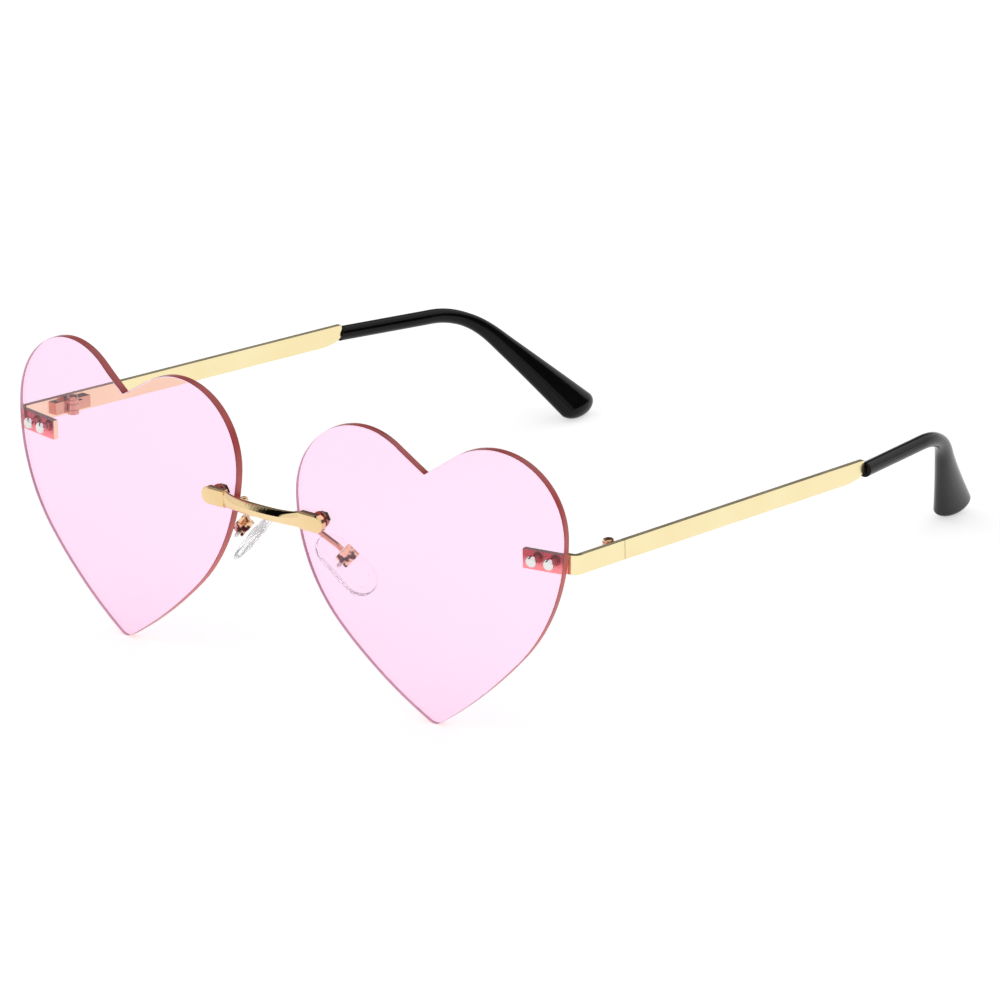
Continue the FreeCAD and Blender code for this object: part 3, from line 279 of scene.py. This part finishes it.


# heart lenses: clear pink sheet; round its cut edge a painted red band, the colour of light that
# runs far through the tinted sheet, and inside it a painted glowing mauve band for the edge seen
# through the sheet
lensLook = {"tint": (0.967, 0.044, 0.729, 1), "density": 160, "haze": 45, "rough": (0.0, 0.015),
            "ior": 1.5, "body": 1.0}
lensCurve = {"centre": (8.8507, 218.8714, 24.7924), "radius": 295, "thickness": 1.75}
edgeLook = {"border": (0.30, 0.050, 0.050), "low": (0.46, 0.070, 0.068),
            "high": (0.64, 0.105, 0.098), "rough": (0.25, 0.4), "streaks": 160,
            "bump": (0.1, 0.03), "line": 0.22, "gap": 0.006}
innerLook = {"low": (0.40, 0.20, 0.26), "high": (0.48, 0.24, 0.312), "glow": 0.62, "gap": -0.03}
# faces of the cut edge stand steep, look outward and lie well away from the lens's middle
rimTest = {"weld": 1e-7, "steep": 0.5, "outward": 0.25, "away": 12}


def paintedEdgeRed():
    # painted red band on the cut edge, the colour of light that runs far through the tinted
    # sheet; painted shade darker along the front and the back of the edge
    finish, tree, shader = newFinish("lens_edge_painted_red")
    streaks = objectNoise(tree, edgeLook["streaks"])
    red = tintBetween(tree, streaks, edgeLook["low"], edgeLook["high"])
    border = tintBetween(tree, streaks, edgeLook["border"], edgeLook["low"])
    across = addNode(tree, "ShaderNodeAttribute", attribute_name="edgeShare").outputs["Fac"]
    line = edgeLook["line"]
    red = blend(tree, border, red, spreadBetween(tree, across, 0, 1, (0, line)))
    red = blend(tree, red, border, spreadBetween(tree, across, 0, 1, (1 - line, 1)))
    tree.links.new(red, shader.inputs["Base Color"])
    tree.links.new(spreadBetween(tree, streaks, *edgeLook["rough"]), shader.inputs["Roughness"])
    addBump(tree, shader, streaks, *edgeLook["bump"])
    return finish


def paintedEdgeGlow():
    # painted glow: the cut edge seen through the sheet as a glowing mauve band, paler for the
    # light the sheet gathers
    finish, tree, shader = newFinish("lens_edge_painted_glow")
    streaks = objectNoise(tree, edgeLook["streaks"])
    pale = tintBetween(tree, streaks, innerLook["low"], innerLook["high"])
    tree.links.new(pale, shader.inputs["Base Color"])
    tree.links.new(pale, shader.inputs["Emission Color"])
    shader.inputs["Emission Strength"].default_value = innerLook["glow"]
    tree.links.new(spreadBetween(tree, streaks, *edgeLook["rough"]), shader.inputs["Roughness"])
    return finish


def rimFaces(sheet, middle):
    rim = set()
    for face in sheet.faces:
        spot = face.calc_center_median()
        outward = Vector((spot.x - middle.x, 0, spot.z - middle.z))
        steep = abs(face.normal.y) < rimTest["steep"]
        outer = face.normal.dot(outward) > rimTest["outward"] * outward.length
        if steep and outer and outward.length > rimTest["away"] * mm:
            rim.add(face)
    strips = []
    while rim:  # faces that hang together, of which the longest strip is the edge
        strip = [rim.pop()]
        for face in strip:
            for other in (f for edge in face.edges for f in edge.link_faces):
                if other in rim:
                    rim.remove(other)
                    strip.append(other)
        strips.append(strip)
    return set(max(strips, key=len))


def edgeBand(side, name, gap, finish):
    # the faces round the lens rim, a hair off it, to carry the painted edge colour
    middle = sum(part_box(f"{side}_lens"), Vector()) / 2
    sheet = bmesh.new()
    sheet.from_mesh(nodes[f"{side}_lens"].data)
    bmesh.ops.remove_doubles(sheet, verts=sheet.verts, dist=rimTest["weld"])
    sheet.normal_update()
    keep = rimFaces(sheet, middle)
    bmesh.ops.delete(sheet, geom=[f for f in sheet.faces if f not in keep], context="FACES")
    sheet.normal_update()
    curveX, curveY, curveZ = lensCurve["centre"]
    centre = Vector((math.copysign(curveX, middle.x), curveY, curveZ)) * mm
    shares = sheet.verts.layers.float.new("edgeShare")  # 0 at the edge's front, 1 at its back
    for vert in sheet.verts:
        depth = lensCurve["radius"] * mm - (vert.co - centre).length
        vert[shares] = depth / (lensCurve["thickness"] * mm)
        vert.co += vert.normal * gap * mm
    band = addPiece(f"{side}_{name}", sheet, finish)
    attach(band, "front")


lensPink = clearStuff("lens_pink", lensLook)
paintedEdgeRedFinish = paintedEdgeRed()
paintedEdgeGlowFinish = paintedEdgeGlow()
for side in sides:
    dress(f"{side}_lens", lensPink)
    edgeBand(side, "lens_edge", edgeLook["gap"], paintedEdgeRedFinish)
    edgeBand(side, "lens_inner_painted_glow", innerLook["gap"], paintedEdgeGlowFinish)
print("lenses dressed")


# nose pads: soft clear silicone, crowned on the face that meets the nose
padShape = {"hinge": (13.0972, -67.27, 25.9524), "yaw": 20.6, "pitch": 42.7, "roll": 29.3,
            "upper": (-2.9, 3.4), "lower": (4.1, 3.9),  # round ends: place and radius
            "aside": 0.35, "back": -1.6, "thickness": 2.0,
            "crown": 2.6, "rear": 5, "rings": 12, "around": 96}
padLook = {"tint": (0.93, 0.94, 0.96, 1), "density": 30, "haze": 400, "rough": (0.02, 0.06),
           "ior": 1.32, "body": 0.78, "bump": (0.05, 0.04)}
insertLook = {"tint": (0.93, 0.95, 0.97, 1), "density": 30, "haze": 400, "rough": (0.02, 0.05),
              "ior": 1.06, "body": 0.78, "bump": (0.05, 0.04)}


def eggPoint(turn):
    # outline of two round ends and the lines that touch both, by its angle round the middle
    (nearX, nearR), (farX, farR) = padShape["upper"], padShape["lower"]
    direction = Vector((math.cos(turn), math.sin(turn)))
    middle = Vector(((nearX + farX) / 2, 0))
    farthest, halvings = 8.0, 40
    low, high = 0.0, farthest  # inside and outside the outline
    for _ in range(halvings):
        reach = (low + high) / 2
        spot = middle + direction * reach
        along = min(max((spot.x - nearX) / (farX - nearX), 0), 1)
        radius = nearR + (farR - nearR) * along
        near = math.hypot(spot.x - (nearX + (farX - nearX) * along), spot.y)
        if near < radius:
            low = reach
        else:
            high = reach
    return middle + direction * low


def nosePad(side):
    count, rings = padShape["around"], padShape["rings"]
    outline = [eggPoint(2 * math.pi * i / count) for i in range(count)]
    middle = Vector(((padShape["upper"][0] + padShape["lower"][0]) / 2, 0))
    half = padShape["thickness"] / 2
    level = padShape["back"] - half  # halfway through the pad
    pad = bmesh.new()

    def ringOf(share, height):
        return [pad.verts.new((*(middle + (spot - middle) * share), height)) for spot in outline]

    # profile from the nose side's middle, over the edge, to the back
    profile = []
    for i in range(1, rings + 1):
        share = math.sin(math.pi / 2 * i / rings)
        profile.append((share, level - half * math.sqrt(max(1 - share**padShape["crown"], 0))))
    for i in range(1, rings):
        share = math.cos(math.pi / 2 * i / rings)
        profile.append((share, level + half * math.sqrt(max(1 - share**padShape["rear"], 0))))
    loops = [ringOf(share, height) for share, height in profile]
    for first, second in zip(loops, loops[1:]):
        for i in range(count):
            j = (i + 1) % count
            pad.faces.new((first[i], first[j], second[j], second[i]))
    front = pad.verts.new((*middle, padShape["back"] - padShape["thickness"]))
    back = pad.verts.new((*middle, padShape["back"]))
    for i in range(count):
        j = (i + 1) % count
        pad.faces.new((front, loops[0][j], loops[0][i]))
        pad.faces.new((back, loops[-1][i], loops[-1][j]))
    turn = Matrix.Rotation(math.radians(padShape["yaw"]), 4, "Z")
    turn = turn @ Matrix.Rotation(math.radians(padShape["pitch"]), 4, "Y")
    turn = turn @ Matrix.Rotation(math.radians(padShape["roll"]), 4, "X")
    shift = Matrix.Translation((0, padShape["aside"], 0))
    place = Matrix.Translation(padShape["hinge"]) @ turn @ shift
    if side == "right":
        place = Matrix.Scale(-1, 4, (1, 0, 0)) @ place
    pad.transform(Matrix.Scale(mm, 4) @ place)
    bmesh.ops.recalc_face_normals(pad, faces=pad.faces)
    piece = addPiece(f"{side}_soft_pad", pad, padClear)
    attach(piece, f"{side}_nose_pad")
    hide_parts(f"{side}_nose_pad")


padClear = clearStuff("pad_silicone", padLook)
insertClear = clearStuff("pad_insert_clear", insertLook)
for side in sides:
    nosePad(side)
    dress(f"{side}_nose_pad_insert", insertClear)
print("nose pads made")


# plain white floor, soft light, camera
floorLook = {"size": 8.0, "drop": 0.05, "low": (0.88, 0.88, 0.88), "high": (0.90, 0.90, 0.90),
             "clouds": 6, "rough": 0.9, "gloss": 0.1, "glow": 0.6}
# an even light on the floor; what shines sees a white room with dark cards,
# each over a stretch of directions
skyLook = {"light": 0.42, "room": 0.95, "soft": 0.04, "cards": (
    # behind on the left, in front on the left, behind on the right
    {"grey": 0.12, "x": (-1.2, -0.3), "y": (0.3, 1.2), "z": (0.14, 0.58)},
    {"grey": 0.003, "x": (-0.63, -0.29), "y": (-1.2, 0.6), "z": (0.0, 1.2)},
    {"grey": 0.03, "x": (0.35, 1.2), "y": (0.15, 1.2), "z": (0.02, 0.5)},
)}
lampLook = {"power": 5, "size": 2.2,
            "places": ((-1.6, -1.4, 2.2), (1.7, -1.2, 2.4), (0.2, 1.9, 2.3))}
cameraLook = {"azimuth": 39.989, "elevation": 20.216, "roll": -1.112, "distance": 1.96117,
              "aim": (0.0253236, -0.0374314, 0.0311005),
              "lens": 372.237, "sensor": 36, "sight": 50}


def whiteFloor():
    half = floorLook["size"] / 2
    drop = -floorLook["drop"] * mm
    corners = [(-half, -half, drop), (half, -half, drop), (half, half, drop), (-half, half, drop)]
    mesh = bpy.data.meshes.new("floor")
    mesh.from_pydata(corners, [], [(0, 1, 2, 3)])
    finish, tree, shader = newFinish("floor_white")
    clouds = objectNoise(tree, floorLook["clouds"])
    white = tintBetween(tree, clouds, floorLook["low"], floorLook["high"])
    tree.links.new(white, shader.inputs["Base Color"])
    shader.inputs["Roughness"].default_value = floorLook["rough"]
    shader.inputs["Specular IOR Level"].default_value = floorLook["gloss"]
    shader.inputs["Emission Color"].default_value = (1, 1, 1, 1)
    shader.inputs["Emission Strength"].default_value = floorLook["glow"]
    mesh.materials.append(finish)
    floor = bpy.data.objects.new("floor", mesh)
    scene.collection.objects.link(floor)


def studioSky():
    world = bpy.data.worlds.new("studio")
    world.use_nodes = True
    scene.world = world
    tree = world.node_tree
    place = addNode(tree, "ShaderNodeTexCoord")
    split = addNode(tree, "ShaderNodeSeparateXYZ")
    tree.links.new(place.outputs["Generated"], split.inputs["Vector"])

    def greyTone(grey):
        tone = addNode(tree, "ShaderNodeRGB")
        tone.outputs[0].default_value = (grey, grey, grey, 1)
        return tone.outputs[0]

    room = greyTone(skyLook["room"])
    soft = skyLook["soft"]
    carded = room
    for card in skyLook["cards"]:
        share = None
        for axis in "XYZ":
            low, high = card[axis.lower()]
            for span in ((low - soft, low + soft), (high + soft, high - soft)):
                inside = spreadBetween(tree, split.outputs[axis], 0, 1, span)
                share = timesEach(tree, share, inside) if share else inside
        carded = blend(tree, carded, greyTone(card["grey"]), share)
    ray = addNode(tree, "ShaderNodeLightPath")
    plain = blend(tree, greyTone(skyLook["light"]), room, ray.outputs["Is Transmission Ray"])
    colour = blend(tree, plain, carded, ray.outputs["Is Glossy Ray"])
    sky = next(n for n in tree.nodes if n.type == "BACKGROUND")
    tree.links.new(colour, sky.inputs["Color"])


def softLamps():
    for i, spot in enumerate(lampLook["places"]):
        lamp = bpy.data.lights.new(f"soft_lamp_{i}", "AREA")
        lamp.energy = lampLook["power"]
        lamp.size = lampLook["size"]
        holder = bpy.data.objects.new(f"soft_lamp_{i}", lamp)
        holder.location = spot
        holder.visible_glossy = False  # reflections show the room, not the lamps
        holder.rotation_euler = (-Vector(spot)).to_track_quat("-Z", "Y").to_euler()
        scene.collection.objects.link(holder)


def photoCamera():
    az, el, roll = (math.radians(cameraLook[key]) for key in ("azimuth", "elevation", "roll"))
    back = Vector((math.sin(az) * math.cos(el), -math.cos(az) * math.cos(el), math.sin(el)))
    right = Vector((math.cos(az), math.sin(az), 0))
    up = back.cross(right)
    across = right * math.cos(roll) + up * math.sin(roll)
    above = up * math.cos(roll) - right * math.sin(roll)
    data = bpy.data.cameras.new("camera")
    data.lens = cameraLook["lens"]
    data.sensor_width = cameraLook["sensor"]
    data.clip_end = cameraLook["sight"]
    camera = bpy.data.objects.new("camera", data)
    turn = Matrix((across, above, back)).transposed().to_4x4()
    stand = Vector(cameraLook["aim"]) + back * cameraLook["distance"]
    camera.matrix_world = Matrix.Translation(stand) @ turn
    scene.collection.objects.link(camera)
    scene.camera = camera


whiteFloor()
studioSky()
softLamps()
photoCamera()
print("stage ready")
